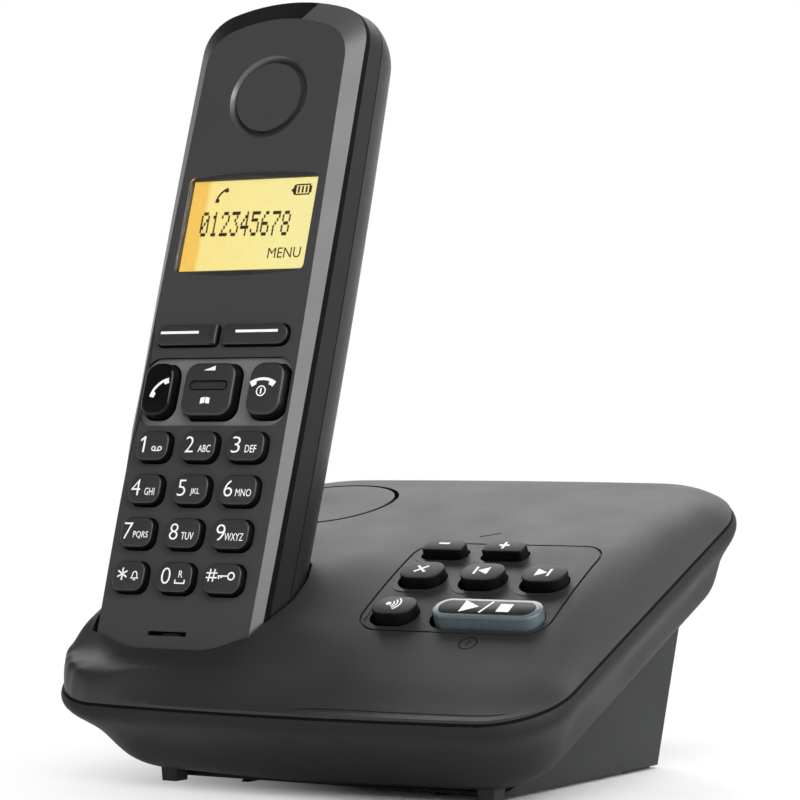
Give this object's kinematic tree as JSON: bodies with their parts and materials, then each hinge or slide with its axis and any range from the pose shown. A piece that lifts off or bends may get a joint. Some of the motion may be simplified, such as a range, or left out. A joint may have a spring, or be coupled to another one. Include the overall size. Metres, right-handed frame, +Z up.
{
  "type": "cordless answering machine",
  "caption": "Sloped answering machine base on a hollow stand, with message keys, a loudspeaker disc and a cradle that holds an upright cordless handset.",
  "frame": {"origin": "on the table, below the middle of the machine's bounding box", "axes": "+Z up, +Y from the front edge of the base to its back, +X to the right of someone who faces the keys"},
  "size_m": [0.1232, 0.1194, 0.1764],
  "materials": {
    "top_case": "fine matte grain, near black",
    "bottom_case": "fine matte grain, near black",
    "stand": "flat dark grey moulding",
    "handset_front": "dark satin face, glossy bevel",
    "handset_rear": "glossy black moulding",
    "handset_key": "satin black keys with pale legends",
    "gloss_key": "glossy black key",
    "base_key": "satin black keys with white symbols",
    "key_rim": "translucent grey-blue rim",
    "window": "clear lens",
    "screen": "amber lit display",
    "rubber": "soft black rubber",
    "silicone": "grey silicone",
    "board": "green circuit board",
    "speaker": "black pressed frame and cone",
    "contact": "plated spring contact",
    "steel": "zinc plated screw",
    "cell": "sleeved cell with metal ends",
    "socket": "black connector body"
  },
  "bodies": {
    "base": {"base_top_shell": "top_case", "base_bottom_shell": "bottom_case", "rear_stand": "stand", "front_feet": "rubber", "rear_feet": "rubber", "base_circuit_board": "board", "base_key_mat": "silicone", "loudspeaker": "speaker", "speaker_disc": "top_case", "base_charge_contacts": "contact", "line_socket": "socket", "power_socket": "socket", "base_screws": "steel"},
    "handset": {"handset_front_shell": "handset_front", "handset_rear_shell": "handset_rear", "display_window": "window", "display_module": "screen", "earpiece_speaker": "speaker", "earpiece_disc": "handset_key", "microphone": "speaker", "handset_circuit_board": "board", "handset_key_mat": "silicone", "batteries": "cell", "battery_contacts": "contact", "charge_pads": "contact", "handset_screws": "steel"},
    "battery_cover": {"battery_cover": "handset_rear"},
    "button_minus": {"button_minus": "base_key"},
    "button_plus": {"button_plus": "base_key"},
    "button_delete": {"button_delete": "base_key"},
    "button_back": {"button_back": "base_key"},
    "button_forward": {"button_forward": "base_key"},
    "button_paging": {"button_paging": "base_key"},
    "play_stop_key": {"play_stop_cap": "base_key", "play_stop_rim": "key_rim"},
    "soft_key_left": {"soft_key_left": "handset_key"},
    "soft_key_right": {"soft_key_right": "handset_key"},
    "talk_key": {"talk_key": "gloss_key"},
    "end_key": {"end_key": "handset_key"},
    "key_1": {"key_1": "handset_key"},
    "key_2": {"key_2": "handset_key"},
    "key_3": {"key_3": "handset_key"},
    "key_4": {"key_4": "handset_key"},
    "key_5": {"key_5": "handset_key"},
    "key_6": {"key_6": "handset_key"},
    "key_7": {"key_7": "handset_key"},
    "key_8": {"key_8": "handset_key"},
    "key_9": {"key_9": "handset_key"},
    "key_star": {"key_star": "handset_key"},
    "key_0": {"key_0": "handset_key"},
    "key_hash": {"key_hash": "handset_key"},
    "rocker_key": {"rocker_key": "handset_key"}
  },
  "joints": [
    {"name": "handset_lift", "type": "slide", "parent": "base", "child": "handset", "axis": [0, 0.3019, 0.9533], "range_m": [0, 0.06]},
    {"name": "battery_cover_off", "type": "slide", "parent": "handset", "child": "battery_cover", "axis": [0, 0.9533, -0.3019], "range_m": [0, 0.012]},
    {"name": "button_minus_press", "type": "slide", "parent": "base", "child": "button_minus", "axis": [0, 0.4772, -0.8788], "range_m": [0, 0.0009], "stiffness_N_per_m": 900},
    {"name": "button_plus_press", "type": "slide", "parent": "base", "child": "button_plus", "axis": [0, 0.4772, -0.8788], "range_m": [0, 0.0009], "stiffness_N_per_m": 900},
    {"name": "button_delete_press", "type": "slide", "parent": "base", "child": "button_delete", "axis": [0, 0.4772, -0.8788], "range_m": [0, 0.0009], "stiffness_N_per_m": 900},
    {"name": "button_back_press", "type": "slide", "parent": "base", "child": "button_back", "axis": [0, 0.4772, -0.8788], "range_m": [0, 0.0009], "stiffness_N_per_m": 900},
    {"name": "button_forward_press", "type": "slide", "parent": "base", "child": "button_forward", "axis": [0, 0.4772, -0.8788], "range_m": [0, 0.0009], "stiffness_N_per_m": 900},
    {"name": "button_paging_press", "type": "slide", "parent": "base", "child": "button_paging", "axis": [0, 0.4772, -0.8788], "range_m": [0, 0.0009], "stiffness_N_per_m": 900},
    {"name": "play_stop_press", "type": "slide", "parent": "base", "child": "play_stop_key", "axis": [0, 0.4772, -0.8788], "range_m": [0, 0.0009], "stiffness_N_per_m": 900},
    {"name": "soft_key_left_press", "type": "slide", "parent": "handset", "child": "soft_key_left", "axis": [0, 0.9533, -0.3019], "range_m": [0, 0.0006], "stiffness_N_per_m": 700},
    {"name": "soft_key_right_press", "type": "slide", "parent": "handset", "child": "soft_key_right", "axis": [0, 0.9533, -0.3019], "range_m": [0, 0.0006], "stiffness_N_per_m": 700},
    {"name": "talk_key_press", "type": "slide", "parent": "handset", "child": "talk_key", "axis": [0, 0.9533, -0.3019], "range_m": [0, 0.0006], "stiffness_N_per_m": 700},
    {"name": "end_key_press", "type": "slide", "parent": "handset", "child": "end_key", "axis": [0, 0.9533, -0.3019], "range_m": [0, 0.0006], "stiffness_N_per_m": 700},
    {"name": "key_1_press", "type": "slide", "parent": "handset", "child": "key_1", "axis": [0, 0.9533, -0.3019], "range_m": [0, 0.0006], "stiffness_N_per_m": 700},
    {"name": "key_2_press", "type": "slide", "parent": "handset", "child": "key_2", "axis": [0, 0.9533, -0.3019], "range_m": [0, 0.0006], "stiffness_N_per_m": 700},
    {"name": "key_3_press", "type": "slide", "parent": "handset", "child": "key_3", "axis": [0, 0.9533, -0.3019], "range_m": [0, 0.0006], "stiffness_N_per_m": 700},
    {"name": "key_4_press", "type": "slide", "parent": "handset", "child": "key_4", "axis": [0, 0.9533, -0.3019], "range_m": [0, 0.0006], "stiffness_N_per_m": 700},
    {"name": "key_5_press", "type": "slide", "parent": "handset", "child": "key_5", "axis": [0, 0.9533, -0.3019], "range_m": [0, 0.0006], "stiffness_N_per_m": 700},
    {"name": "key_6_press", "type": "slide", "parent": "handset", "child": "key_6", "axis": [0, 0.9533, -0.3019], "range_m": [0, 0.0006], "stiffness_N_per_m": 700},
    {"name": "key_7_press", "type": "slide", "parent": "handset", "child": "key_7", "axis": [0, 0.9533, -0.3019], "range_m": [0, 0.0006], "stiffness_N_per_m": 700},
    {"name": "key_8_press", "type": "slide", "parent": "handset", "child": "key_8", "axis": [0, 0.9533, -0.3019], "range_m": [0, 0.0006], "stiffness_N_per_m": 700},
    {"name": "key_9_press", "type": "slide", "parent": "handset", "child": "key_9", "axis": [0, 0.9533, -0.3019], "range_m": [0, 0.0006], "stiffness_N_per_m": 700},
    {"name": "key_star_press", "type": "slide", "parent": "handset", "child": "key_star", "axis": [0, 0.9533, -0.3019], "range_m": [0, 0.0006], "stiffness_N_per_m": 700},
    {"name": "key_0_press", "type": "slide", "parent": "handset", "child": "key_0", "axis": [0, 0.9533, -0.3019], "range_m": [0, 0.0006], "stiffness_N_per_m": 700},
    {"name": "key_hash_press", "type": "slide", "parent": "handset", "child": "key_hash", "axis": [0, 0.9533, -0.3019], "range_m": [0, 0.0006], "stiffness_N_per_m": 700},
    {"name": "rocker_tilt", "type": "hinge", "parent": "handset", "child": "rocker_key", "pos_m": [-0.03595, -0.02373, 0.08453], "axis": [1, 0, 0], "range_deg": [-3, 3], "stiffness_Nm_per_rad": 0.6}
  ]
}
